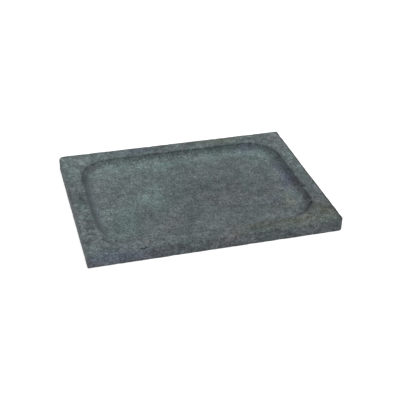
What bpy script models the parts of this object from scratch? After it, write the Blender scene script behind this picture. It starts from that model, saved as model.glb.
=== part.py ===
"""Shallow stone tray: one slab of basalt, sawn to size, with a rounded recess ground into its top.

Metres, +Z up. The origin is on the underside, at the middle of the slab. +X runs along the length,
and the front is at -Y.
"""

import math

import bmesh
import bpy
from mathutils import Matrix

# The slab, as sawn.
SLAB_LENGTH = 0.400
SLAB_WIDTH = 0.300
SLAB_THICKNESS = 0.020

# Plan radius of each upright corner. Two have been knocked round by handling.
CORNER_FRONT_LEFT = 0.0020
CORNER_FRONT_RIGHT = 0.0080
CORNER_BACK_RIGHT = 0.0020
CORNER_BACK_LEFT = 0.0100

# Wear along the long edges of the top and the underside.
ARRIS_WEAR = 0.0010

# Width of the flat rim on each side. The recess was ground by hand, so no two are quite the same.
RIM_LEFT = 0.0266
RIM_RIGHT = 0.0242
RIM_FRONT = 0.0251
RIM_BACK = 0.0259

# The recess. Its wall is a hollow curve, upright at the rim and level where it runs into the floor.
RECESS_DEPTH = 0.008
RECESS_CORNER_RADIUS = 0.056
COVE_RUN = 0.014
RIM_EASE = 0.0006

# Fineness of the curves.
SLAB_CORNER_SEGMENTS = 6
RECESS_CORNER_SEGMENTS = 14
COVE_STEPS = 8
ARRIS_SEGMENTS = 2

# The cutter starts this far above the slab and is this tall from there.
CUTTER_CLEARANCE = 0.003
CUTTER_HEIGHT = 0.006

# Basalt: dark, cool grey-green and matt.
STONE_COLOUR = (0.115, 0.139, 0.142, 1.0)
STONE_ROUGHNESS = 0.85


def clear_scene():
    """Remove the objects that the scene starts with."""
    for obj in list(bpy.data.objects):
        bpy.data.objects.remove(obj, do_unlink=True)


def new_collection(name):
    """A collection under the scene's own."""
    collection = bpy.data.collections.new(name)
    bpy.context.scene.collection.children.link(collection)
    return collection


def stone_material():
    """The plain finish of the stone."""
    material = bpy.data.materials.new("basalt")
    material.use_nodes = True
    shader = material.node_tree.nodes["Principled BSDF"]
    shader.inputs["Base Color"].default_value = STONE_COLOUR
    shader.inputs["Roughness"].default_value = STONE_ROUGHNESS
    shader.inputs["Metallic"].default_value = 0.0
    return material


def box(length, width, height):
    """A bmesh box centred on the Z axis, standing on z = 0."""
    solid = bmesh.new()
    middle = Matrix.Translation((0.0, 0.0, height / 2))
    scale = Matrix.Diagonal((length, width, height, 1.0))
    bmesh.ops.create_cube(solid, size=1.0, matrix=middle @ scale)
    return solid


def upright_edge(solid, side_x, side_y):
    """The upright edge at the corner whose x and y have the signs side_x and side_y."""
    for edge in solid.edges:
        first, second = (vert.co for vert in edge.verts)
        upright = (first - second).xy.length < 1e-9
        if upright and first.x * side_x > 0 and first.y * side_y > 0:
            return edge
    raise ValueError("the box has no upright edge at this corner")


def round_corner(solid, side_x, side_y, radius, segments):
    """Round one upright edge of a box in plan."""
    bmesh.ops.bevel(
        solid,
        geom=[upright_edge(solid, side_x, side_y)],
        offset=radius,
        offset_type="OFFSET",
        segments=segments,
        profile=0.5,
        affect="EDGES",
    )


def finished_object(solid, name, collection):
    """Turn a bmesh into an object with its faces pointing out."""
    bmesh.ops.recalc_face_normals(solid, faces=solid.faces)
    mesh = bpy.data.meshes.new(name)
    solid.to_mesh(mesh)
    solid.free()
    obj = bpy.data.objects.new(name, mesh)
    collection.objects.link(obj)
    return obj


def make_slab(collection):
    """The sawn slab, with its four corners rounded in plan and its long edges worn."""
    solid = box(SLAB_LENGTH, SLAB_WIDTH, SLAB_THICKNESS)
    corners = (
        (-1, -1, CORNER_FRONT_LEFT),
        (1, -1, CORNER_FRONT_RIGHT),
        (1, 1, CORNER_BACK_RIGHT),
        (-1, 1, CORNER_BACK_LEFT),
    )
    for side_x, side_y, radius in corners:
        round_corner(solid, side_x, side_y, radius, SLAB_CORNER_SEGMENTS)
    slab = finished_object(solid, "stone_tray", collection)
    worn = slab.modifiers.new("worn_arris", "BEVEL")
    worn.width = ARRIS_WEAR
    worn.segments = ARRIS_SEGMENTS
    worn.limit_method = "ANGLE"
    worn.angle_limit = math.radians(40)
    return slab


def sink_floor(solid, inwards, downwards):
    """Add one band of wall under the cutter: its lowest face moves in and down by these amounts."""
    floor = min(solid.faces, key=lambda face: face.calc_center_median().z)
    bmesh.ops.inset_region(
        solid,
        faces=[floor],
        thickness=inwards,
        depth=downwards,
        use_boundary=True,
        use_even_offset=True,
    )


def make_recess_cutter(collection):
    """The shape that is ground out: an eased rim, then a hollow wall that runs into a level floor."""
    recess_length = SLAB_LENGTH - RIM_LEFT - RIM_RIGHT
    recess_width = SLAB_WIDTH - RIM_FRONT - RIM_BACK
    flare = RIM_EASE + CUTTER_CLEARANCE
    solid = box(recess_length + 2 * flare, recess_width + 2 * flare, CUTTER_HEIGHT)
    for side_x, side_y in ((-1, -1), (1, -1), (1, 1), (-1, 1)):
        radius = RECESS_CORNER_RADIUS + flare
        round_corner(solid, side_x, side_y, radius, RECESS_CORNER_SEGMENTS)
    sink_floor(solid, flare, flare)
    cove_depth = RECESS_DEPTH - RIM_EASE
    for step in range(COVE_STEPS):
        start = math.pi / 2 * step / COVE_STEPS
        end = math.pi / 2 * (step + 1) / COVE_STEPS
        inwards = COVE_RUN * (math.cos(start) - math.cos(end))
        downwards = cove_depth * (math.sin(end) - math.sin(start))
        sink_floor(solid, inwards, downwards)
    cutter = finished_object(solid, "recess_cutter", collection)
    cutter.location = (
        (RIM_LEFT - RIM_RIGHT) / 2,
        (RIM_FRONT - RIM_BACK) / 2,
        SLAB_THICKNESS + CUTTER_CLEARANCE,
    )
    cutter.hide_render = True
    cutter.display_type = "WIRE"
    return cutter


def cut_recess(slab, cutter):
    """Cut the recess into the top of the slab."""
    cut = slab.modifiers.new("recess", "BOOLEAN")
    cut.operation = "DIFFERENCE"
    cut.solver = "EXACT"
    cut.object = cutter


def main():
    """Build the tray."""
    clear_scene()
    tray = new_collection("stone_tray")
    cutters = new_collection("cutters")
    slab = make_slab(tray)
    slab.data.materials.append(stone_material())
    cut_recess(slab, make_recess_cutter(cutters))
    slab.data.shade_smooth()
    slab.data.set_sharp_from_angle(angle=math.radians(40))


main()
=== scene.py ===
"""Looks of the stone tray: worn, hand-ground dark stone on a pale floor, under soft studio light."""

import logging
import math
from dataclasses import dataclass, field
from enum import Enum, IntEnum

import bpy
import numpy as np
from mathutils import Matrix, Vector, noise

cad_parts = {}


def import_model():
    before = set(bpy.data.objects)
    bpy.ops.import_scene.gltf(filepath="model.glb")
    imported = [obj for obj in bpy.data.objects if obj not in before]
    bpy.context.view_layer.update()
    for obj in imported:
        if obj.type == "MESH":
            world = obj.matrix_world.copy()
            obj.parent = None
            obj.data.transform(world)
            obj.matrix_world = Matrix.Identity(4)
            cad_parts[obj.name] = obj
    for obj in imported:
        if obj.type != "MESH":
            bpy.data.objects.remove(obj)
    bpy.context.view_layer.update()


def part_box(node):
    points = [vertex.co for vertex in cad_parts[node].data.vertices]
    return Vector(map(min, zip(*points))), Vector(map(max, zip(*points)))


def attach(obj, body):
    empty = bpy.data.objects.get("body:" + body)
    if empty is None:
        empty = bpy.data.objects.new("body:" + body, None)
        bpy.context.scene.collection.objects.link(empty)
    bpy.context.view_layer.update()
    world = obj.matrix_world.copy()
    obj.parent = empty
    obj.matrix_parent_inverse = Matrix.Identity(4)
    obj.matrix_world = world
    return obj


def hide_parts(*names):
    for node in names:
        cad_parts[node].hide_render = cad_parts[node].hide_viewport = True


MM = 0.001
NODE = "stone_tray"
LOG = logging.getLogger("stone_tray_scene")

Array = np.ndarray
Colour = tuple[float, float, float, float]
Socket = bpy.types.NodeSocket
Value = Socket | float | tuple[float, ...]
Span = tuple[float, float]
FourSides = tuple[float, float, float, float]

CLOUD_SHIFT = np.array([17.31, 5.77, 11.13])
CLOUD_GAIN = 1.6


class Side(Enum):
    """The four sides, in the order that every outline runs round them, anticlockwise from above."""

    FRONT = 0
    RIGHT = 1
    BACK = 2
    LEFT = 3


class Tone(Enum):
    """How a patch of stone differs from the rest: what its red, green and blue are multiplied by."""

    PALE = (1.22, 1.24, 1.24)
    CREAM = (1.32, 1.27, 1.14)
    DARK = (0.74, 0.74, 0.75)
    DEEP = (0.50, 0.50, 0.52)
    BLUE = (0.94, 0.93, 1.14)
    OLIVE = (1.05, 1.00, 0.84)
    GREEN = (0.92, 1.00, 0.99)
    WARM = (1.07, 0.99, 1.01)
    COOL = (1.05, 0.98, 1.04)
    RUST = (1.14, 0.96, 0.88)


def clouds(points: Array, wavelength: float, seed: int) -> Array:
    """Smooth noise in space.

    Args:
        points: one row of x, y and z for each point, in metres.
        wavelength: the rough distance between neighbouring highs, in metres.
        seed: picks one of many unlike patterns.

    Returns:
        One value for each point, from about -1 to 1.
    """
    places = points / wavelength + CLOUD_SHIFT * seed
    return np.array([CLOUD_GAIN * noise.noise(Vector(row)) for row in places])


def soft_step(value: Array, start: float, end: float) -> Array:
    """A smooth step, 0 at start and 1 at end, whichever of the two is the larger."""
    share = np.clip((value - start) / (end - start), 0.0, 1.0)
    return share * share * (3.0 - 2.0 * share)


def raised(plan: Array, height: float | Array) -> Array:
    """Rows of x and y with a height added to each."""
    return np.column_stack([plan, np.broadcast_to(height, len(plan))])


@dataclass(frozen=True)
class Drift:
    """Unevenness of one size: how much of it, over what distance, and which pattern."""

    amount: float
    wavelength: float
    seed: int

    def at(self, points: Array) -> Array:
        """How much it adds at each point."""
        return self.amount * clouds(points, self.wavelength, self.seed)


def drifted(points: Array, drifts: tuple[Drift, ...]) -> Array:
    """What several drifts add together at each point."""
    return sum(drift.at(points) for drift in drifts)


@dataclass(frozen=True)
class Counts:
    """How many mesh edges each stretch of an outline has.

    The sum of a side and a corner divides by 4.
    """

    long: int = 132
    short: int = 76
    corner: int = 96

    @property
    def grid(self) -> tuple[int, int]:
        """The edges along a long and a short side of a grid that fills the outline."""
        return self.long + self.corner, self.short + self.corner

    def straight(self, side: Side) -> int:
        """The edges along the straight stretch of one side."""
        return self.long if side in (Side.FRONT, Side.BACK) else self.short


@dataclass(frozen=True)
class Outline:
    """A closed outline in plan, with the direction inwards at each of its points."""

    plan: Array
    inward: Array

    def inset(self, by: float | Array) -> Array:
        """The outline's points moved inwards, by one distance or by one for each point."""
        return self.plan + self.inward * np.broadcast_to(by, len(self.plan))[:, None]

    def wandered(self, drifts: tuple[Drift, ...]) -> "Outline":
        """The outline as a hand cuts it, a little in and out of line.

        Args:
            drifts: what moves it, one after another.

        Returns:
            The uneven outline.
        """
        uneven = self
        for drift in drifts:
            uneven = Outline(uneven.inset(drift.at(raised(uneven.plan, 0.0))), self.inward)
        return uneven


@dataclass(frozen=True)
class RoundedRectangle:
    """A rectangle in plan with its own radius at each corner.

    The corners are front left, front right, back right and back left. The knees are how far from
    each corner, along either side, the straight stretch of the mesh begins.
    """

    low: tuple[float, float]
    high: tuple[float, float]
    radii: tuple[float, float, float, float]
    knees: tuple[tuple[float, float], ...]
    crowding: float

    def outline(self, counts: Counts) -> Outline:
        """Draw the outline from the middle of the front left corner.

        Args:
            counts: the mesh's counts.

        Returns:
            The outline.
        """
        (left, front), (right, back) = self.low, self.high
        tips = [(left, front), (right, front), (right, back), (left, back)]
        plan, inward = [], []
        for side in Side:
            start, end = side.value, (side.value + 1) % 4
            tip, far = np.array(tips[start]), np.array(tips[end])
            length = float(np.linalg.norm(far - tip))
            along = (far - tip) / length
            across = np.array([-along[1], along[0]])
            local, facing = self._side(length, start, end, side, counts)
            plan.append(tip + local[:, :1] * along + local[:, 1:] * across)
            inward.append(facing[:, :1] * along + facing[:, 1:] * across)
        return Outline(np.concatenate(plan), np.concatenate(inward))

    def _side(self, length: float, start: int, end: int, side: Side,
              counts: Counts) -> tuple[Array, Array]:
        """One side, as distances along it and inwards from it, and its inward directions.

        Args:
            length: the side's length, tip to tip.
            start: the number of its first corner.
            end: the number of its last corner.
            side: which side it is.
            counts: the mesh's counts.

        Returns:
            The points, of which the middle of the last corner is not one, and their directions.
        """
        half = counts.corner // 2
        first, first_in = self._half_corner(start, self._knee(start, side), half)
        last, last_in = self._half_corner(end, self._knee(end, side), half)
        mirrored = np.array([-1.0, 1.0])
        last, last_in = last[::-1] * mirrored + np.array([length, 0.0]), last_in[::-1] * mirrored
        share = np.arange(1, counts.straight(side))[:, None] / counts.straight(side)
        middle = first[-1] * (1 - share) + last[0] * share
        middle_in = np.tile([0.0, 1.0], (len(middle), 1))
        return (np.concatenate([first, middle, last[:-1]]),
                np.concatenate([first_in, middle_in, last_in[:-1]]))

    def _knee(self, corner: int, side: Side) -> float:
        """The distance from a corner to where the mesh's straight stretch of a side begins."""
        return self.knees[corner][0 if side in (Side.FRONT, Side.BACK) else 1]

    def _half_corner(self, corner: int, knee: float, count: int) -> tuple[Array, Array]:
        """Half of a corner, with its points closest together at the corner's middle.

        Args:
            corner: the corner's number.
            knee: how far from the corner its last point is.
            count: the number of edges.

        Returns:
            The points from the corner's middle to its knee, and their inward directions.
        """
        radius = self.radii[corner]
        arc = radius * math.pi / 4
        share = np.linspace(0.0, 1.0, count + 1)
        gone = (arc + knee - radius) * (self.crowding * share + (1 - self.crowding) * share ** 2)
        turn = np.maximum(arc - gone, 0.0) / radius
        past = np.maximum(gone - arc, 0.0)
        facing = np.column_stack([np.sin(turn), np.cos(turn)])
        return radius * (1 - facing) + np.column_stack([past, np.zeros_like(past)]), facing


@dataclass(frozen=True)
class WallProfile:
    """The recess's wall from the floor up to the rim, drawn by how its slope changes on the way."""

    steepest: float = 82.0
    lip_start: float = 0.87
    lip_end: float = 1.0
    evenness: float = 0.9
    rings: int = 21
    samples: int = 400

    def curve(self) -> tuple[Array, Array]:
        """The wall as it is cut.

        Returns:
            The share of the run, 1 at the floor and 0 at the rim, and the share of the height at
            each ring of the mesh.
        """
        along = np.linspace(0.0, 1.0, self.samples)
        rising = np.minimum(along / self.lip_start, 1.0)
        lip = soft_step(along, self.lip_end, self.lip_start)
        slope = math.radians(self.steepest) * rising * lip
        run = np.concatenate([[0.0], np.cumsum(np.cos(slope[1:]))])
        rise = np.concatenate([[0.0], np.cumsum(np.sin(slope[1:]))])
        bends = np.concatenate([[0.0], np.cumsum(np.abs(np.diff(slope)))])
        turned = bends / 2 + self.evenness * along
        at = np.linspace(0.0, turned[-1], self.rings)
        return 1.0 - np.interp(at, turned, run) / run[-1], np.interp(at, turned, rise) / rise[-1]


@dataclass(frozen=True)
class Chip:
    """A flake knocked off an edge: a shallow bowl that pushes the surface in, in millimetres."""

    BOWL_POWER = 1.3
    SHADE_POWER = 0.7

    centre: tuple[float, float, float]
    radii: tuple[float, float, float]
    push: tuple[float, float, float]
    darkness: float = 0.0

    def depth(self, points: Array) -> Array:
        """How deep in the bowl each point is, from 0 at its edge to 1 at its middle."""
        away = (points / MM - np.array(self.centre)) / np.array(self.radii)
        return np.clip(1.0 - (away ** 2).sum(axis=1), 0.0, 1.0)

    def cut(self, points: Array) -> Array:
        """The points with those inside the bowl pushed in, most at its middle."""
        return points + (self.depth(points) ** self.BOWL_POWER)[:, None] * np.array(self.push) * MM

    def shade(self, points: Array) -> Array:
        """What each point's colour is multiplied by."""
        return 1.0 - self.darkness * self.depth(points) ** self.SHADE_POWER


@dataclass(frozen=True)
class Patch:
    """A part of the stone with a tone of its own, or a patch of painted shade, soft at its edge, in
    millimetres.
    """

    FALL = 1.2
    FRAY = 0.45
    MOST = 1.3

    tone: Tone
    centre: tuple[float, float, float]
    radii: tuple[float, float, float]
    strength: float = 1.0

    def tint(self, points: Array, ragged: Array) -> Array:
        """What the patch multiplies each point's colour by.

        Args:
            points: the stone's points, in metres.
            ragged: a noise value for each point, which frays the patch's edge.

        Returns:
            One row of red, green and blue for each point.
        """
        away = (points / MM - np.array(self.centre)) / np.array(self.radii)
        share = np.exp(-self.FALL * (away ** 2).sum(axis=1)) * (1.0 + self.FRAY * ragged)
        share = np.clip(self.strength * share, 0.0, self.MOST)[:, None]
        return 1.0 + share * (np.array(self.tone.value) - 1.0)


@dataclass(frozen=True)
class Grit:
    """One size of unevenness in the stone.

    The scale is in features per metre, and the swing is how far the lightness goes either way.
    """

    scale: float
    detail: float
    rough: float
    swing: float = 0.0


@dataclass(frozen=True)
class Grains:
    """Scattered mineral grains of one kind.

    The scale is in cells per metre, each of which may hold a grain. The size is a grain's radius as
    a share of its cell, the rarity is the share of cells that stay empty, and the shift moves them.
    """

    scale: float
    size: float
    rarity: float
    shift: tuple[float, float, float] = (0.0, 0.0, 0.0)


@dataclass(frozen=True)
class StoneNodes:
    """The nodes of a material, and where on the stone they look their patterns up."""

    tree: bpy.types.NodeTree
    where: Socket

    def node(self, kind: str, inputs: dict[str | int, Value], operation: str = "") -> bpy.types.Node:
        """Add a node.

        Args:
            kind: the node's type.
            inputs: the value of each input, or the output that feeds it.
            operation: what the node does, if its type leaves that open.

        Returns:
            The node.
        """
        made = self.tree.nodes.new(kind)
        if operation:
            made.operation = operation
        self.feed(made, inputs)
        return made

    def feed(self, node: bpy.types.Node, inputs: dict[str | int, Value]) -> None:
        """Set or link a node's inputs.

        Args:
            node: the node.
            inputs: the value of each input, or the output that feeds it.
        """
        for name, value in inputs.items():
            if isinstance(value, (float, tuple)):
                node.inputs[name].default_value = value
            else:
                self.tree.links.new(value, node.inputs[name])

    def noise(self, grit: Grit) -> Socket:
        """Noise of one size, from 0 to 1."""
        inputs = {"Scale": grit.scale, "Detail": grit.detail, "Roughness": grit.rough}
        return self.node("ShaderNodeTexNoise", {**inputs, "Vector": self.where}).outputs["Fac"]

    def span(self, value: Socket, start: Span, end: Span = (0.0, 1.0)) -> Socket:
        """A value taken from one span to another, and held at its ends."""
        ends = dict(zip(("From Min", "From Max", "To Min", "To Max"), start + end))
        return self.node("ShaderNodeMapRange", {**ends, "Value": value}).outputs["Result"]

    def maths(self, operation: str, *terms: Value) -> Socket:
        """The result of a sum."""
        return self.node("ShaderNodeMath", dict(enumerate(terms)), operation).outputs["Value"]

    def scaled(self, colour: Socket, by: Socket) -> Socket:
        """A colour made lighter or darker."""
        inputs = {0: colour, "Scale": by}
        return self.node("ShaderNodeVectorMath", inputs, "SCALE").outputs["Vector"]

    def mixed(self, share: Value, below: Value, above: Value, blend: str = "MIX") -> Socket:
        """Lay one colour over another.

        Args:
            share: how much of the upper colour shows.
            below: the lower colour.
            above: the upper colour.
            blend: how they are combined.

        Returns:
            The combined colour.
        """
        node = self.tree.nodes.new("ShaderNodeMix")
        node.data_type, node.blend_type = "RGBA", blend
        self.feed(node, {"Factor": share, 6: below, 7: above})
        return node.outputs[2]


@dataclass(frozen=True)
class StoneFinish:
    """Ground, unpolished stone: mottled grey green, fine grains, pits and a dry surface."""

    green: Colour = (0.101, 0.132, 0.132, 1.0)
    grey: Colour = (0.114, 0.134, 0.137, 1.0)
    light_grain: Colour = (0.245, 0.272, 0.262, 1.0)
    dark_grain: Colour = (0.030, 0.036, 0.040, 1.0)
    evened: Colour = (0.098, 0.121, 0.126, 1.0)
    drift: Grit = Grit(11.0, 3.0, 0.55)
    drift_span: Span = (0.36, 0.64)
    cloud: Grit = Grit(32.0, 2.0, 0.5, 0.24)
    mottle: Grit = Grit(95.0, 4.0, 0.62, 0.36)
    speckle: Grit = Grit(330.0, 2.0, 0.9, 0.73)
    noise_span: Span = (0.25, 0.75)
    crystals_per_metre: float = 400.0
    crystal_span: Span = (0.1, 0.9)
    crystal_lightness: Span = (0.75, 1.25)
    light_grains: Grains = Grains(330.0, 0.30, 0.86)
    dark_grains: Grains = Grains(240.0, 0.34, 0.88, (7.3, 15.33, 5.11))
    grain_edge: Span = (1.25, 0.75)
    grain_choice: float = 0.02
    fine: Grit = Grit(900.0, 3.0, 0.7)
    fine_share: float = 0.7
    roughness: Span = (0.80, 0.93)
    specular: float = 0.35
    bump: float = 0.35
    bump_depth: float = 0.45 * MM

    def material(self) -> bpy.types.Material:
        """Build the material's nodes.

        Returns:
            The material.
        """
        made = bpy.data.materials.new("ground_stone")
        made.use_nodes = True
        tree = made.node_tree
        nodes = StoneNodes(tree, tree.nodes.new("ShaderNodeTexCoord").outputs["Object"])

        drift, cloud = nodes.noise(self.drift), nodes.noise(self.cloud)
        mottle, speckle = nodes.noise(self.mottle), nodes.noise(self.speckle)
        body = nodes.mixed(nodes.span(drift, self.drift_span), self.green, self.grey)
        for noise_value, grit in ((cloud, self.cloud), (mottle, self.mottle), (speckle, self.speckle)):
            swung = nodes.span(noise_value, self.noise_span, (1.0 - grit.swing, 1.0 + grit.swing))
            body = nodes.scaled(body, swung)
        cells = {"Scale": self.crystals_per_metre, "Vector": nodes.where}
        crystals = nodes.node("ShaderNodeTexVoronoi", cells).outputs["Color"]
        body = nodes.scaled(body, nodes.span(crystals, self.crystal_span, self.crystal_lightness))

        body = nodes.mixed(self._grains(nodes, self.light_grains), body, self.light_grain)
        dark = self._grains(nodes, self.dark_grains)
        body = nodes.mixed(dark, body, self.dark_grain)
        # The tone attribute multiplies in the stone's own patches and wear, and painted shade on the
        # wall, the sides and where the slab stands.
        tone = tree.nodes.new("ShaderNodeAttribute")
        tone.attribute_name = "tone"
        body = nodes.mixed(tone.outputs["Alpha"], body, self.evened)
        body = nodes.mixed(1.0, body, tone.outputs["Color"], "MULTIPLY")

        nodes.feed(tree.nodes["Principled BSDF"], {
            "Base Color": body,
            "Roughness": nodes.span(mottle, self.noise_span, self.roughness),
            "Specular IOR Level": self.specular,
            "Normal": self._relief(nodes, speckle, dark),
        })
        return made

    def _grains(self, nodes: StoneNodes, grains: Grains) -> Socket:
        """Scattered mineral grains.

        Args:
            nodes: the material's nodes.
            grains: the kind of grain.

        Returns:
            1 in a grain and 0 between the grains.
        """
        shifted = nodes.node("ShaderNodeVectorMath", {0: nodes.where, 1: grains.shift}, "ADD")
        inputs = {"Scale": grains.scale, "Vector": shifted.outputs["Vector"]}
        cells = nodes.node("ShaderNodeTexVoronoi", inputs)
        outer, inner = self.grain_edge
        near = nodes.span(cells.outputs["Distance"], (grains.size * outer, grains.size * inner))
        rare = (grains.rarity, grains.rarity + self.grain_choice)
        return nodes.maths("MULTIPLY", near, nodes.span(cells.outputs["Color"], rare))

    def _relief(self, nodes: StoneNodes, speckle: Socket, dark: Socket) -> Socket:
        """The fine relief: a grainy surface with a pit at each dark grain.

        Args:
            nodes: the material's nodes.
            speckle: the noise of the speckle.
            dark: 1 in a dark grain.

        Returns:
            The surface's direction.
        """
        grainy = nodes.maths("MULTIPLY_ADD", nodes.noise(self.fine), self.fine_share, speckle)
        pitted = nodes.maths("SUBTRACT", grainy, dark)
        inputs = {"Strength": self.bump, "Distance": self.bump_depth, "Height": pitted}
        return nodes.node("ShaderNodeBump", inputs).outputs["Normal"]


class Stage(IntEnum):
    """Where a point is on the way out from the recess's floor, over the rim and in under the slab.

    A point between two stages has a number between theirs.
    """

    FLOOR = 0
    RIM = 1
    ARRIS = 2
    SIDE = 3
    LOW_ARRIS = 4
    UNDER = 5


@dataclass(frozen=True)
class Fades:
    """The stages between which each kind of wear and finish, and each painted shade, comes in or goes
    out, from none to full.
    """

    uneven_top: Span = (Stage.SIDE + 0.2, Stage.ARRIS + 0.5)
    sawn_side: Span = (Stage.ARRIS + 0.6, Stage.SIDE + 0.1)
    rim: Span = (Stage.FLOOR + 0.8, Stage.RIM + 0.1)
    # Where the painted shade on the recess's wall comes in above the floor and goes out at the rim.
    wall_from_floor: Span = (Stage.FLOOR + 0.0, Stage.FLOOR + 0.30)
    wall_from_rim: Span = (Stage.RIM + 0.12, Stage.RIM - 0.10)
    polish_from_floor: Span = (Stage.FLOOR + 0.0, Stage.FLOOR + 0.04)
    polish_from_rim: Span = (Stage.RIM + 0.05, Stage.RIM - 0.05)
    arris_from_rim: Span = (Stage.ARRIS - 0.15, Stage.ARRIS + 0.0)
    arris_from_side: Span = (Stage.SIDE + 0.15, Stage.ARRIS + 0.8)
    # Where the sides begin, for their cool tint and the painted shade on them, and where that shade
    # lessens towards the bottom.
    side: Span = (Stage.ARRIS + 0.5, Stage.SIDE + 0.05)
    lower_side: Span = (Stage.SIDE + 0.25, Stage.SIDE + 0.7)
    # Where the painted contact shadow comes in, at the foot of the sides.
    contact: Span = (Stage.SIDE + 0.88, Stage.LOW_ARRIS + 0.1)


@dataclass
class RingMesh:
    """A closed mesh, laid out ring by ring from a grid in its top to a grid in its underside."""

    points: list[Array] = field(default_factory=list)
    stages: list[Array] = field(default_factory=list)
    unrolled: list[Array] = field(default_factory=list)
    quads: list[Array] = field(default_factory=list)
    triangles: list[Array] = field(default_factory=list)
    edge: Array = field(default_factory=lambda: np.empty(0, int))

    def _add(self, points: Array, stage: float, unrolled: Array | None) -> int:
        """Add points.

        Args:
            points: the points.
            stage: their stage.
            unrolled: where they lie, in plan, if the surface is laid flat.

        Returns:
            The number of the first.
        """
        start = sum(map(len, self.points))
        self.points.append(points)
        self.stages.append(np.full(len(points), float(stage)))
        self.unrolled.append(points[:, :2] if unrolled is None else unrolled)
        return start

    def _grid(self, boundary: Array, counts: tuple[int, int], stage: float) -> tuple[Array, Array]:
        """Add a grid whose rows follow an outline's sides.

        Args:
            boundary: the outline's points, from a corner of the grid, anticlockwise.
            counts: the grid's edges along a long and a short side.
            stage: the points' stage.

        Returns:
            The numbers of the boundary's points, in its order, and the grid's quads, facing up.
        """
        columns, lines = counts
        front, back = boundary[:columns + 1], boundary[columns + lines:2 * columns + lines + 1][::-1]
        right = boundary[columns:columns + lines + 1]
        left = np.concatenate([boundary[2 * columns + lines:], boundary[:1]])[::-1]
        u = (np.arange(columns + 1) / columns)[None, :, None]
        v = (np.arange(lines + 1) / lines)[:, None, None]
        sides = (1 - v) * front[None] + v * back[None] + (1 - u) * left[:, None] + u * right[:, None]
        corners = ((1 - u) * (1 - v) * front[0] + u * (1 - v) * front[-1]
                   + (1 - u) * v * back[0] + u * v * back[-1])
        start = self._add((sides - corners).reshape(-1, 3), stage, None)
        number = start + np.arange((columns + 1) * (lines + 1)).reshape(lines + 1, columns + 1)
        cells = np.stack([number[:-1, :-1], number[:-1, 1:], number[1:, 1:], number[1:, :-1]],
                         axis=-1)
        edge = [number[0, :-1], number[:-1, -1], number[-1, :0:-1], number[:0:-1, 0]]
        return np.concatenate(edge), cells.reshape(-1, 4)

    def top_grid(self, boundary: Array, counts: tuple[int, int], stage: float) -> None:
        """Start the mesh with a grid that faces up."""
        self.edge, cells = self._grid(boundary, counts, stage)
        self.quads.append(cells)

    def ring(self, points: Array, stage: float, unrolled: Array | None = None) -> None:
        """Add the next ring, joined to the last one by quads.

        Args:
            points: the ring's points.
            stage: their stage.
            unrolled: where they lie, in plan, if the surface is laid flat.
        """
        here = self._add(points, stage, unrolled) + np.arange(len(points))
        self._join(here)

    def _join(self, here: Array) -> None:
        """Join the last ring to a new one, point to point.

        Args:
            here: the numbers of the new ring's points.
        """
        self.quads.append(np.column_stack([self.edge, here, np.roll(here, -1),
                                           np.roll(self.edge, -1)]))
        self.edge = here

    def halved_ring(self, points: Array, stage: float) -> None:
        """Add the next ring with every other one of the points given, joined by triangles.

        Args:
            points: as many points as the last ring has.
            stage: their stage.
        """
        here = self._add(points[::2], stage, None) + np.arange(len(points) // 2)
        even, odd = self.edge[::2], self.edge[1::2]
        following = np.roll(here, -1)
        self.triangles += [np.column_stack([even, here, odd]),
                           np.column_stack([odd, here, following]),
                           np.column_stack([odd, following, np.roll(even, -1)])]
        self.edge = here

    def under_grid(self, boundary: Array, counts: tuple[int, int], stage: float) -> None:
        """Close the mesh with a grid that faces down.

        Args:
            boundary: the outline's points, from a corner of the grid, anticlockwise.
            counts: the grid's edges along a long and a short side.
            stage: the points' stage.
        """
        here, cells = self._grid(boundary, counts, stage)
        self._join(here)
        self.quads.append(cells[:, ::-1])

    def all_points(self) -> Array:
        """Every point, one row each."""
        return np.concatenate(self.points)

    def all_stages(self) -> Array:
        """Every point's stage."""
        return np.concatenate(self.stages)

    def faces(self) -> list[Array]:
        """The quads and the triangles, as two tables of point numbers."""
        return [np.concatenate(self.quads), np.concatenate(self.triangles)]

    def normals(self, points: Array) -> Array:
        """The direction out of the surface at each point.

        Args:
            points: where the points lie.

        Returns:
            One row of length 1 for each point.
        """
        total = np.zeros_like(points)
        for table in self.faces():
            corners = points[table]
            facing = np.cross(corners[:, 2] - corners[:, 0], corners[:, -1] - corners[:, 1])
            for column in range(table.shape[1]):
                np.add.at(total, table[:, column], facing)
        return total / np.maximum(np.linalg.norm(total, axis=1), 1e-12)[:, None]


@dataclass(frozen=True)
class FlatLayout:
    """Where each part of the surface lies when it is laid out flat, in a square of side 1."""

    slab_length: float = 0.88
    middle: float = 0.46
    margin: float = 0.01
    half_top: float = 0.52
    whole_top: float = 1.04
    gap: float = 0.03
    ends: float = 0.93
    end_spacing: float = 0.55
    end_height: float = 0.5
    under: Span = (0.16, 0.067)
    under_size: float = 0.19


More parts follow.
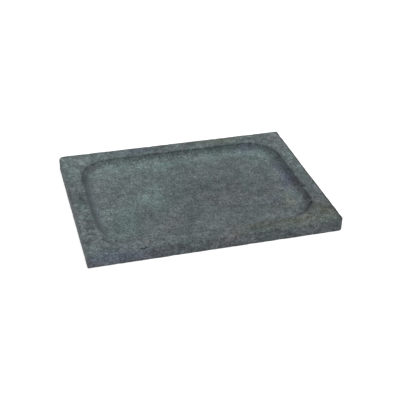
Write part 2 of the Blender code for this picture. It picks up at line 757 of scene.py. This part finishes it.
@dataclass
class StoneTray:
    """The stone: one slab with a shallow recess ground into its top, as one closed mesh.

    The mesh is a grid on the recess's floor, then rings that run out over the wall and the rim,
    down the sides and in under the slab, to a coarser grid. Each point has a stage, which says how
    far along that way it is.
    """

    low: Vector
    high: Vector
    rim_left: float = 26.0 * MM
    rim_right: float = 23.6 * MM
    rim_front: float = 24.5 * MM
    rim_back: float = 25.3 * MM
    recess_depth: float = 8.0 * MM
    recess_radius: float = 56.0 * MM
    wall_runs: FourSides = (16 * MM, 20 * MM, 15 * MM, 15.5 * MM)
    arris_tones: FourSides = (0.94, 0.30, 0.66, 0.85)
    # Painted shade on the recess's wall: what its colour is multiplied by on the front, right, back
    # and left.
    painted_wall_shades: FourSides = (0.85, 0.61, 0.74, 0.64)
    wall_polish: FourSides = (0.0, 0.10, 0.0, 0.75)
    rim_mottles: FourSides = (0.04, 0.12, 0.13, 0.16)
    wall_blend: float = 25 * MM
    rim_blend: float = 8 * MM
    arris_blend: float = 5 * MM
    corner_blend: float = 3 * MM
    slab_corners: FourSides = (2.2 * MM, 8.0 * MM, 2.2 * MM, 10.0 * MM)
    slab_crowding: float = 0.35
    arris: FourSides = (1.8 * MM, 0.7 * MM, 0.7 * MM, 1.1 * MM)
    low_arris: float = 1.0 * MM
    sharpest: float = 0.4 * MM
    spare: float = 0.05 * MM
    recess_drifts: tuple[Drift, ...] = (Drift(0.7 * MM, 70 * MM, 1), Drift(0.35 * MM, 22 * MM, 2))
    slab_drifts: tuple[Drift, ...] = (Drift(0.22 * MM, 60 * MM, 3), Drift(0.10 * MM, 12 * MM, 4))
    arris_drifts: tuple[Drift, ...] = (Drift(0.30, 30 * MM, 5), Drift(0.22, 9 * MM, 6))
    run_drift: Drift = Drift(0.12, 45 * MM, 7)
    top_drifts: tuple[Drift, ...] = (Drift(0.16 * MM, 105 * MM, 8), Drift(0.06 * MM, 34 * MM, 9))
    ground_drifts: tuple[Drift, ...] = (Drift(0.07 * MM, 6 * MM, 10), Drift(0.05 * MM, 3 * MM, 11))
    sawn_drifts: tuple[Drift, ...] = (Drift(0.12 * MM, 7 * MM, 12), Drift(0.05 * MM, 3 * MM, 13))
    ragged_drifts: tuple[Drift, ...] = (Drift(1.0, 16 * MM, 20), Drift(0.5, 6 * MM, 21))
    patchy_drifts: tuple[Drift, ...] = (Drift(1.0, 11 * MM, 22), Drift(0.7, 5.5 * MM, 23))
    warm_drift: Drift = Drift(1.0, 15 * MM, 24)
    warmth: Span = (0.02, 0.025)
    warm_colour: tuple[float, float, float] = (1.0, -0.3, 0.1)
    worn_ring: Span = (25.0 * MM, 12.0 * MM)
    worn_share: float = 0.05
    worn_extra: tuple[tuple[int, float, Span], ...] = (
        (1, 0.16, (0.45, 0.85)), (0, 0.12, (0.35, 0.10)), (0, 0.11, (0.7, 0.9)))
    worn_fray: float = 0.4
    # How ragged the painted shade on the wall is.
    wall_fray: float = 0.25
    # Painted shade on the sides: how much darker at the top, and how much of that goes towards the
    # bottom.
    painted_side_shade: Span = (0.17, 0.03)
    # How dark the painted contact shadow is.
    painted_contact_shadow: float = 0.72
    counts: Counts = Counts()
    wall: WallProfile = WallProfile()
    fades: Fades = Fades()
    sheet: FlatLayout = FlatLayout()
    rim_rings: int = 15
    arris_rings: int = 4
    side_rings: int = 11
    under_gaps: tuple[float, float, float] = (2 * MM, 5 * MM, 11 * MM)
    chips: tuple[Chip, ...] = ()
    patches: tuple[Patch, ...] = ()
    mesh: RingMesh = field(default_factory=RingMesh)

    @property
    def top(self) -> float:
        """The height of the rim."""
        return self.high.z - self.spare

    @property
    def floor(self) -> float:
        """The height of the recess's floor."""
        return self.high.z - self.recess_depth

    def recess(self) -> Outline:
        """The recess's outline where its wall meets the rim, a little uneven, as ground by hand.

        Returns:
            The outline.
        """
        low = (self.low.x + self.rim_left, self.low.y + self.rim_front)
        high = (self.high.x - self.rim_right, self.high.y - self.rim_back)
        radius = self.recess_radius
        plain = RoundedRectangle(low, high, (radius,) * 4, ((radius, radius),) * 4, 1.0)
        return plain.outline(self.counts).wandered(self.recess_drifts)

    def sawn(self, inset: float) -> Outline:
        """The slab's outline as sawn, with corners that stay round as it shrinks.

        Args:
            inset: how far it is set in from the slab's box.

        Returns:
            The outline.
        """
        low = (self.low.x + inset, self.low.y + inset)
        high = (self.high.x - inset, self.high.y - inset)
        beyond = self.recess_radius - inset
        left, right = self.rim_left + beyond, self.rim_right + beyond
        front, back = self.rim_front + beyond, self.rim_back + beyond
        knees = ((left, front), (right, front), (right, back), (left, back))
        radii = tuple(max(radius - inset, self.sharpest) for radius in self.slab_corners)
        return RoundedRectangle(low, high, radii, knees, self.slab_crowding).outline(self.counts)

    def slab(self) -> Outline:
        """The slab's outline, just inside its box, a little uneven."""
        return self.sawn(self.spare).wandered(self.slab_drifts)

    def gaps(self, points: Array) -> Array:
        """How far each point is from the front, right, back and left of the slab."""
        x, y = points[:, 0], points[:, 1]
        return np.column_stack([y - self.low.y, self.high.x - x, self.high.y - y, x - self.low.x])

    def by_side(self, values: FourSides, points: Array, blend: float) -> Array:
        """A value at each point, from one value a side, blended round the corners."""
        weights = np.exp((self.gaps(points).min(axis=1)[:, None] - self.gaps(points)) / blend)
        return (weights @ np.array(values)) / weights.sum(axis=1)

    def worn_arris(self, slab: Outline) -> Array:
        """The radius that each point of the top arris is worn to."""
        uneven = 1.0 + drifted(raised(slab.plan, 0.0), self.arris_drifts)
        return self.by_side(self.arris, slab.plan, self.corner_blend) * uneven

    def lay_out(self) -> None:
        """Lay the mesh out: floor, wall, rim, arris, side and underside."""
        mesh, recess, slab = self.mesh, self.recess(), self.slab()
        run = self.by_side(self.wall_runs, recess.plan, self.wall_blend)
        run *= 1.0 + self.run_drift.at(raised(recess.plan, 0.0))
        inwards, rises = self.wall.curve()
        usual = min(self.wall_runs)
        stretch = np.hypot(np.diff(inwards) * usual, np.diff(rises) * self.recess_depth)
        spare_length = np.concatenate([[0.0], np.cumsum(stretch)]) - (1 - inwards) * usual
        mesh.top_grid(raised(recess.inset(run), self.floor), self.counts.grid, Stage.FLOOR)
        for inward, rise, spare in zip(inwards[1:], rises[1:], spare_length[1:]):
            plan = recess.inset(run * inward)
            height = self.floor + (self.top - self.floor) * rise
            mesh.ring(raised(plan, height), Stage.FLOOR + rise, plan - spare * recess.inward)

        arris = self.worn_arris(slab)
        unrolled = -spare_length[-1] * recess.inward
        for share in np.linspace(0.0, 1.0, self.rim_rings + 1)[1:]:
            plan = recess.plan * (1 - share) + slab.inset(arris) * share
            mesh.ring(raised(plan, self.top), Stage.RIM + share, plan + unrolled)
        for share in np.linspace(0.0, 1.0, self.arris_rings + 1)[1:]:
            turn = share * math.pi / 2
            plan = slab.inset(arris * (1 - math.sin(turn)))
            extra = arris * (turn - math.sin(turn))
            height = self.top - arris * (1 - math.cos(turn))
            mesh.ring(raised(plan, height), Stage.ARRIS + share,
                      plan + unrolled - extra[:, None] * slab.inward)

        upper = self.top - arris
        for share in np.linspace(0.0, 1.0, self.side_rings + 1)[1:]:
            height = upper * (1 - share) + (self.low.z + self.low_arris) * share
            mesh.ring(raised(slab.plan, height), Stage.SIDE + share)
        for share in (0.5, 1.0):
            turn = share * math.pi / 2
            plan = slab.inset(self.low_arris * (1 - math.cos(turn)))
            height = self.low.z + self.low_arris * (1 - math.sin(turn))
            mesh.ring(raised(plan, height), Stage.LOW_ARRIS + share)
        under = Stage.UNDER + 1
        first, second, third = (self.low_arris + gap for gap in self.under_gaps)
        mesh.halved_ring(raised(self.sawn(first).plan, self.low.z), under)
        mesh.halved_ring(raised(self.sawn(second).plan, self.low.z)[::2], under)
        columns, lines = self.counts.grid
        innermost = raised(self.sawn(third).plan, self.low.z)[::4]
        mesh.under_grid(innermost, (columns // 4, lines // 4), under)

    def weather(self, points: Array) -> Array:
        """Give the drawn slab its uneven top, its rough surface and its chips.

        Args:
            points: the points as they are laid out.

        Returns:
            The points in their final places.
        """
        stages = self.mesh.all_stages()
        points = points.copy()
        points[:, 2] += soft_step(stages, *self.fades.uneven_top) * drifted(points, self.top_drifts)
        outwards = self.mesh.normals(points)
        ground, sawn = drifted(points, self.ground_drifts), drifted(points, self.sawn_drifts)
        side = soft_step(stages, *self.fades.sawn_side)
        points += outwards * (ground * (1 - side) + sawn * side)[:, None]
        for chip in self.chips:
            points = chip.cut(points)
        under = stages > Stage.UNDER
        points[under, 2] = self.low.z
        return np.clip(points, np.array(self.low), np.array(self.high))

    def inside(self, points: Array) -> Array:
        """How far in from the recess's outline each point is, in plan.

        Args:
            points: the points.

        Returns:
            The distances, which are negative outside the outline.
        """
        centre = np.array([self.low.x + self.rim_left + self.high.x - self.rim_right,
                           self.low.y + self.rim_front + self.high.y - self.rim_back]) / 2
        half = np.array([self.high.x - self.rim_right - self.low.x - self.rim_left,
                         self.high.y - self.rim_back - self.low.y - self.rim_front]) / 2
        past = np.abs(points[:, :2] - centre) - half + self.recess_radius
        outside = np.linalg.norm(np.maximum(past, 0.0), axis=1) + np.minimum(past.max(axis=1), 0.0)
        return self.recess_radius - outside

    def tones(self, points: Array) -> Array:
        """What each point's colour is multiplied by, for wear, grinding and the stone's own patches,
        and for painted shade on the wall and the sides and a painted contact shadow.

        Args:
            points: the points in their final places.

        Returns:
            One row of red, green and blue for each point.
        """
        stages, fades = self.mesh.all_stages(), self.fades
        ragged = drifted(points, self.ragged_drifts)
        tint = np.ones((len(points), 3))
        for patch in self.patches:
            tint *= patch.tint(points, ragged)
        for chip in self.chips:
            tint *= chip.shade(points)[:, None]
        rim = soft_step(stages, *fades.rim)
        mottles = self.by_side(self.rim_mottles, points, self.rim_blend)
        tint *= 1.0 + (rim * mottles * drifted(points, self.patchy_drifts))[:, None]
        warmth = (self.warmth[0] + self.warmth[1] * rim) * self.warm_drift.at(points)
        tint *= 1.0 + warmth[:, None] * np.array(self.warm_colour)
        side = soft_step(stages, *fades.side)
        shade = self.worn_ring_and_wall_shade(points, stages, ragged) * self.edge_shade(points, stages, side)
        tint *= 1.0 + side[:, None] * (np.array(Tone.COOL.value) - 1.0)
        return tint * shade[:, None]

    def worn_ring_and_wall_shade(self, points: Array, stages: Array, ragged: Array) -> Array:
        """The pale worn ring round the recess's floor, and painted shade on the recess's wall, darkest
        on the right.

        Args:
            points: the points in their final places.
            stages: their stages.
            ragged: a noise value for each point.

        Returns:
            What each point's colour is multiplied by.
        """
        fades, (far, wide) = self.fades, self.worn_ring
        ring = np.exp(-((self.inside(points) - far) / wide) ** 2) * (stages <= Stage.FLOOR + 0.05)
        size = np.array(self.high - self.low)
        place = points / size + 0.5
        much = self.worn_share
        for axis, extra, span in self.worn_extra:
            much = much + extra * soft_step(place[:, axis], *span)
        shade = 1.0 + much * ring * (1.0 + self.worn_fray * ragged)
        # Painted shade on the recess's wall, one strength a side, ragged at its edges.
        wall = soft_step(stages, *fades.wall_from_floor) * soft_step(stages, *fades.wall_from_rim)
        wall *= 1.0 + self.wall_fray * ragged
        return shade * (1.0 - (1.0 - self.by_side(self.painted_wall_shades, points, self.wall_blend)) * wall)

    def edge_shade(self, points: Array, stages: Array, side: Array) -> Array:
        """The darker top arris, painted shade on the sides, a little less towards the bottom, and a
        painted contact shadow where the slab stands.

        Args:
            points: the points in their final places.
            stages: their stages.
            side: 1 on the sides and 0 elsewhere.

        Returns:
            What each point's colour is multiplied by.
        """
        fades, (full, less) = self.fades, self.painted_side_shade
        arris = soft_step(stages, *fades.arris_from_rim) * soft_step(stages, *fades.arris_from_side)
        shade = 1.0 - (1.0 - self.by_side(self.arris_tones, points, self.arris_blend)) * arris
        # Painted shade on the slab's sides, a little less towards the bottom.
        shade *= 1.0 - side * (full - less * soft_step(stages, *fades.lower_side))
        # A painted contact shadow along the foot of the sides and the lower arris, stopping at the
        # underside.
        contact = soft_step(stages, *fades.contact) * (stages <= Stage.UNDER)
        return shade * (1.0 - self.painted_contact_shadow * contact)

    def polish(self, points: Array) -> Array:
        """How evenly each point of the recess's wall was ground.

        Args:
            points: the points in their final places.

        Returns:
            1 where no grain shows any more, and 0 where all of it does.
        """
        stages, fades = self.mesh.all_stages(), self.fades
        wall = soft_step(stages, *fades.polish_from_floor)
        wall *= soft_step(stages, *fades.polish_from_rim)
        return wall * self.by_side(self.wall_polish, points, self.wall_blend)

    def atlas(self, points: Array) -> Array:
        """Lay the surface out flat: the top as one sheet, the sides as strips, the underside small.

        Args:
            points: the points in their final places.

        Returns:
            One row of u and v for each corner of each face, in the order of the faces.
        """
        stages, flat = self.mesh.all_stages(), np.concatenate(self.mesh.unrolled)
        sheet, (length, width, thickness) = self.sheet, self.high - self.low
        scale = sheet.slab_length / length
        strip = sheet.gap + thickness * scale
        top_origin = np.array([sheet.middle, sheet.margin + sheet.half_top * width * scale])
        above = sheet.gap + sheet.whole_top * width * scale
        under_origin = np.array([sheet.under[0], above + 2 * strip + sheet.under[1]])
        layouts = []
        for table in self.mesh.faces():
            corners, last = points[table], stages[table].max(axis=1)
            middle = corners.mean(axis=1)
            nearest = self.gaps(middle).argmin(axis=1)
            layout = top_origin + flat[table] * scale
            height = (corners[:, :, 2] - self.low.z) * scale
            for side in Side:
                chosen = (last > Stage.SIDE) & (last <= Stage.UNDER) & (nearest == side.value)
                across = corners[:, :, 0 if side in (Side.FRONT, Side.BACK) else 1] * scale
                if side in (Side.FRONT, Side.BACK):
                    level = above + strip * (side is Side.BACK)
                    placed = np.stack([sheet.middle + across, level + height], axis=-1)
                else:
                    level = sheet.ends + strip * (side is Side.LEFT) * sheet.end_spacing
                    placed = np.stack([level + height * sheet.end_height, top_origin[1] + across],
                                      axis=-1)
                layout[chosen] = placed[chosen]
            under = last > Stage.UNDER
            small = under_origin + corners[:, :, :2] * scale * sheet.under_size
            layout[under] = small[under]
            layouts.append(layout.reshape(-1, 2))
        return np.concatenate(layouts)

    def build(self) -> bpy.types.Object:
        """Make the stone's mesh, with its tones and its flat layout.

        Returns:
            The object, without its finish.
        """
        self.lay_out()
        points = self.weather(self.mesh.all_points())
        shape = bpy.data.meshes.new("ground_stone_slab")
        rows = [row for table in self.mesh.faces() for row in table.tolist()]
        shape.from_pydata(points, [], rows)
        shape.shade_smooth()
        # The tone carries the stone's patches and wear and the painted shade; its alpha is how evenly
        # the wall was ground.
        tone = shape.attributes.new("tone", "FLOAT_COLOR", "POINT")
        tones = np.column_stack([self.tones(points), self.polish(points)])
        tone.data.foreach_set("color", tones.astype(np.float32).ravel())
        layout = shape.uv_layers.new(name="OFBake")
        layout.uv.foreach_set("vector", self.atlas(points).astype(np.float32).ravel())
        made = bpy.data.objects.new("ground_stone_slab", shape)
        bpy.context.scene.collection.objects.link(made)
        return made


@dataclass(frozen=True)
class Studio:
    """A plain pale table under a wide, soft light, and the camera."""

    table_size: float = 40.0
    table_colour: Colour = (0.45, 0.45, 0.45, 1.0)
    table_roughness: float = 0.9
    table_glow: float = 0.80
    white: Colour = (1.0, 1.0, 1.0, 1.0)
    horizon: Span = (0.08, 0.22)
    horizon_glow: float = 0.95
    sky_glow: float = 0.45
    light_power: float = 11.0
    light_size: float = 1.1
    light_at: Vector = Vector((0.20, -0.03, 1.30))
    camera_at: Vector = Vector((-0.3208, -1.1099, 0.7306))
    camera_turn: float = 16.663
    camera_dip: float = 32.504
    camera_roll: float = 1.42
    lens: float = 74.75
    sensor: float = 36.0

    def table(self, height: float) -> bpy.types.Object:
        """Make the table top that the stone rests on.

        Args:
            height: how high it is.

        Returns:
            The table top.
        """
        half = self.table_size / 2
        shape = bpy.data.meshes.new("table_top")
        plan = ((-half, -half), (half, -half), (half, half), (-half, half))
        shape.from_pydata([(*corner, height) for corner in plan], [], [(0, 1, 2, 3)])
        made = bpy.data.objects.new("table_top", shape)
        bpy.context.scene.collection.objects.link(made)
        paint = bpy.data.materials.new("pale_table")
        paint.use_nodes = True
        shader = paint.node_tree.nodes["Principled BSDF"]
        shader.inputs["Base Color"].default_value = self.table_colour
        shader.inputs["Roughness"].default_value = self.table_roughness
        shader.inputs["Specular IOR Level"].default_value = 0.0
        shader.inputs["Emission Color"].default_value = self.white
        shader.inputs["Emission Strength"].default_value = self.table_glow
        shape.materials.append(paint)
        return made

    def light(self) -> None:
        """The pale surroundings and the soft light overhead, a little behind and to the right."""
        world = bpy.data.worlds.new("pale_room")
        bpy.context.scene.world = world
        world.use_nodes = True
        tree = world.node_tree
        where = tree.nodes.new("ShaderNodeTexCoord").outputs["Generated"]
        split = tree.nodes.new("ShaderNodeSeparateXYZ")
        glow = tree.nodes.new("ShaderNodeMapRange")
        glow.inputs["From Min"].default_value, glow.inputs["From Max"].default_value = self.horizon
        glow.inputs["To Min"].default_value = self.horizon_glow
        glow.inputs["To Max"].default_value = self.sky_glow
        tree.links.new(where, split.inputs["Vector"])
        tree.links.new(split.outputs["Z"], glow.inputs["Value"])
        background = tree.nodes["Background"]
        background.inputs["Color"].default_value = self.white
        tree.links.new(glow.outputs["Result"], background.inputs["Strength"])
        lamp = bpy.data.lights.new("softbox", "AREA")
        lamp.shape, lamp.size, lamp.energy = "DISK", self.light_size, self.light_power
        made = bpy.data.objects.new("softbox", lamp)
        made.location = self.light_at
        made.rotation_euler = (-self.light_at).to_track_quat("-Z", "Y").to_euler()
        bpy.context.scene.collection.objects.link(made)

    def camera(self) -> None:
        """The camera, over the front left corner."""
        turn, dip = math.radians(self.camera_turn), math.radians(self.camera_dip)
        roll = math.radians(self.camera_roll)
        forwards, down = math.cos(dip), math.sin(dip)
        ahead = Vector((math.sin(turn) * forwards, math.cos(turn) * forwards, -down))
        level = Vector((math.cos(turn), -math.sin(turn), 0.0))
        upright = level.cross(ahead)
        right = math.cos(roll) * level + math.sin(roll) * upright
        up = math.cos(roll) * upright - math.sin(roll) * level
        lens = bpy.data.cameras.new("camera")
        lens.sensor_width, lens.lens = self.sensor, self.lens
        made = bpy.data.objects.new("camera", lens)
        facing = Matrix((right, up, -ahead)).transposed().to_4x4()
        made.matrix_world = Matrix.Translation(self.camera_at) @ facing
        bpy.context.scene.collection.objects.link(made)
        bpy.context.scene.camera = made


FLOOR_PATCHES = (
    Patch(Tone.DARK, (60, -60, 12), (120, 75, 60), 0.75),
    Patch(Tone.DARK, (50, -5, 12), (75, 40, 30), 0.90),
    Patch(Tone.DARK, (-65, -105, 12), (40, 20, 12), 0.60),
    Patch(Tone.DARK, (5, 30, 12), (28, 15, 30), 0.75),
    Patch(Tone.PALE, (-115, 80, 13), (45, 35, 30), 0.75),
    Patch(Tone.PALE, (-70, 97, 13), (35, 18, 30), 0.90),
    Patch(Tone.PALE, (-75, -15, 12), (50, 45, 30), 0.95),
    Patch(Tone.PALE, (-110, -100, 12), (30, 20, 30), 0.60),
    Patch(Tone.PALE, (140, 90, 14), (24, 40, 30), 0.80),
    Patch(Tone.CREAM, (142, -66, 12), (12, 18, 12), 1.00),
    Patch(Tone.BLUE, (120, -57, 12), (12, 9, 12), 0.90),
    Patch(Tone.BLUE, (151, -21, 12), (8, 12, 12), 0.80),
    Patch(Tone.GREEN, (0, 95, 14), (160, 35, 20), 0.90),
    Patch(Tone.GREEN, (-80, 20, 12), (55, 60, 20), 0.65),
    Patch(Tone.GREEN, (-130, -70, 12), (30, 35, 20), 0.70),
    Patch(Tone.GREEN, (90, 0, 12), (14, 26, 12), 1.10),
    Patch(Tone.GREEN, (140, 30, 13), (20, 25, 20), 0.70),
    Patch(Tone.GREEN, (12, -65, 12), (16, 30, 12), 0.80),
    Patch(Tone.WARM, (-145, 5, 12), (20, 35, 12), 0.80),
    Patch(Tone.WARM, (-60, -85, 12), (55, 30, 12), 1.00),
    Patch(Tone.COOL, (45, -10, 12), (60, 55, 12), 0.80),
)

WALL_PATCHES = (
    # The first three dark patches are painted shade on the right wall, the back left corner and the
    # upper left wall, widening the wall's shaded band.
    Patch(Tone.DARK, (162, 58, 14), (10, 38, 14), 1.00),
    Patch(Tone.DARK, (-148, 105, 14), (15, 14, 9), 0.75),
    Patch(Tone.DARK, (-162, 72, 14), (9, 24, 9), 0.50),
    Patch(Tone.BLUE, (-165, 10, 15), (8, 90, 9), 0.40),
    Patch(Tone.DARK, (156, -92, 14), (16, 18, 12), 0.90),
    Patch(Tone.DEEP, (166, -90, 15), (5, 6, 9), 1.20),
    Patch(Tone.DEEP, (156, -100, 15), (7, 5, 9), 1.10),
    Patch(Tone.DEEP, (145, -108, 15), (9, 5, 9), 1.10),
    Patch(Tone.PALE, (-37, 120, 16), (11, 7, 8), 0.85),
    Patch(Tone.PALE, (12, 120, 16), (11, 7, 8), 0.80),
    Patch(Tone.PALE, (162, 98, 16), (14, 16, 14), 1.00),
    Patch(Tone.BLUE, (130, 113, 16), (30, 14, 14), 0.80),
    Patch(Tone.BLUE, (166, 10, 14), (12, 45, 14), 1.20),
    Patch(Tone.GREEN, (60, 118, 18), (44, 9, 12), 1.20),
    Patch(Tone.WARM, (-148, 105, 14), (15, 14, 9), 1.00),
    Patch(Tone.RUST, (172, -22, 17), (7, 11, 12), 0.90),
)

RIM_PATCHES = (
    Patch(Tone.DARK, (90, -134, 18), (130, 24, 30), 0.60),
    Patch(Tone.DARK, (182, -105, 18), (24, 45, 12), 0.95),
    Patch(Tone.DARK, (-183, 5, 20), (10, 14, 14), 0.95),
    Patch(Tone.PALE, (-165, 130, 20), (50, 24, 14), 1.00),
    Patch(Tone.PALE, (-186, 75, 20), (14, 50, 14), 1.00),
    Patch(Tone.PALE, (-172, -108, 18), (30, 30, 14), 0.60),
    Patch(Tone.PALE, (135, 122, 18), (14, 9, 10), 0.80),
    Patch(Tone.BLUE, (-67, 138, 20), (30, 12, 10), 1.00),
    Patch(Tone.GREEN, (188, 0, 20), (14, 22, 12), 1.10),
    Patch(Tone.GREEN, (-190, 100, 20), (12, 35, 12), 0.60),
    Patch(Tone.GREEN, (-184, -25, 20), (10, 50, 12), 0.80),
    Patch(Tone.WARM, (-40, -125, 18), (120, 30, 24), 0.60),
    Patch(Tone.WARM, (182, -80, 20), (22, 50, 14), 1.00),
    Patch(Tone.WARM, (188, 110, 20), (15, 55, 14), 1.20),
    Patch(Tone.COOL, (-150, -130, 20), (60, 22, 12), 0.60),
    Patch(Tone.COOL, (188, -45, 20), (14, 18, 12), 0.90),
    Patch(Tone.OLIVE, (120, -132, 20), (95, 16, 10), 1.00),
    Patch(Tone.OLIVE, (185, -112, 19), (22, 22, 12), 0.80),
    Patch(Tone.OLIVE, (95, 140, 20), (40, 12, 10), 0.90),
)

FACE_PATCHES = (
    Patch(Tone.DARK, (-85, -150, 3), (90, 6, 5), 0.60),
    Patch(Tone.DARK, (186, -150, 12), (10, 10, 12), 1.10),
    Patch(Tone.PALE, (-155, -150, 12), (40, 6, 12), 0.55),
    Patch(Tone.BLUE, (-150, -150, 12), (55, 12, 16), 0.80),
    Patch(Tone.RUST, (30, -148, 18), (12, 7, 8), 0.70),
    Patch(Tone.RUST, (198, -6, 19), (6, 7, 6), 0.90),
)

CHIPS = (
    Chip((-117, -147.2, 19.7), (7.5, 2.0, 2.8), (0.0, 0.2, -1.3), 1.00),
    Chip((-112, -145.8, 19.7), (3.0, 2.0, 2.5), (0.0, 0.0, -0.6), 0.80),
    Chip((173, -76, 19.5), (3.0, 5.0, 4.0), (1.0, 0.0, -1.2), 0.6),
    Chip((170, -87, 18.0), (3.0, 3.5, 5.0), (1.0, -0.4, -1.2), 0.80),
    Chip((160, -96, 16.5), (5.0, 3.5, 5.0), (0.8, -0.8, -1.2), 0.85),
    Chip((148, -106, 16.0), (6.0, 3.0, 4.0), (0.3, -0.8, -0.8), 0.70),
    Chip((177, -40, 19.6), (3.0, 6.0, 3.0), (0.8, 0.0, -1.0), 0.5),
    Chip((176, 8, 19.6), (3.0, 7.0, 3.0), (0.7, 0.0, -0.8), 0.4),
    Chip((-173, 62, 19.6), (3.0, 7.0, 3.0), (-0.8, 0.0, -0.9), 0.4),
)


@dataclass(frozen=True)
class Knocks:
    """Small flakes lost from the slab's edges over the years, in millimetres."""

    count: int = 48
    seed: int = 3
    upper_share: float = 0.6
    half_lengths: Span = (3.5, 8.0)
    half_widths: Span = (2.2, 3.4)
    inwards: Span = (0.10, 0.32)
    upright: Span = (0.12, 0.40)
    darkness: Span = (-0.2, 0.3)

    def chips(self, low: Vector, high: Vector) -> tuple[Chip, ...]:
        """Scatter the flakes along the upper and the lower edges of all four sides.

        Args:
            low: the slab's lowest corner.
            high: its highest corner.

        Returns:
            The flakes.
        """
        rng = np.random.default_rng(self.seed)
        chips = []
        for _ in range(self.count):
            side = Side(int(rng.integers(len(Side))))
            along = 0 if side in (Side.FRONT, Side.BACK) else 1
            outwards = -1.0 if side in (Side.FRONT, Side.LEFT) else 1.0
            edge = low if outwards < 0 else high
            upper = rng.random() < self.upper_share
            centre = [0.0, 0.0, (high.z if upper else low.z) / MM]
            centre[along] = rng.uniform(low[along], high[along]) / MM
            centre[1 - along] = edge[1 - along] / MM
            half_length, half_width = rng.uniform(*self.half_lengths), rng.uniform(*self.half_widths)
            radii, push = [half_width] * 3, [0.0] * 3
            radii[along] = half_length
            push[1 - along] = -outwards * rng.uniform(*self.inwards)
            push[2] = (-1.0 if upper else 1.0) * rng.uniform(*self.upright)
            chips.append(Chip(tuple(centre), tuple(radii), tuple(push), rng.uniform(*self.darkness)))
        return tuple(chips)


def main() -> None:
    """Build the stone around the CAD model's box, then the studio."""
    logging.basicConfig(level=logging.INFO, format="%(message)s")
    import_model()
    bpy.context.scene.view_settings.view_transform = "Standard"

    low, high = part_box(NODE)
    patches = FLOOR_PATCHES + WALL_PATCHES + RIM_PATCHES + FACE_PATCHES
    tray = StoneTray(low, high, chips=CHIPS + Knocks().chips(low, high), patches=patches)
    stone = tray.build()
    stone.data.materials.append(StoneFinish().material())
    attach(stone, "root")
    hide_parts(NODE)
    LOG.info("%s: %d faces", stone.name, len(stone.data.polygons))

    studio = Studio()
    table = studio.table(low.z)
    studio.light()
    studio.camera()
    LOG.info("%s and studio in place", table.name)


if __name__ == "__main__":
    main()
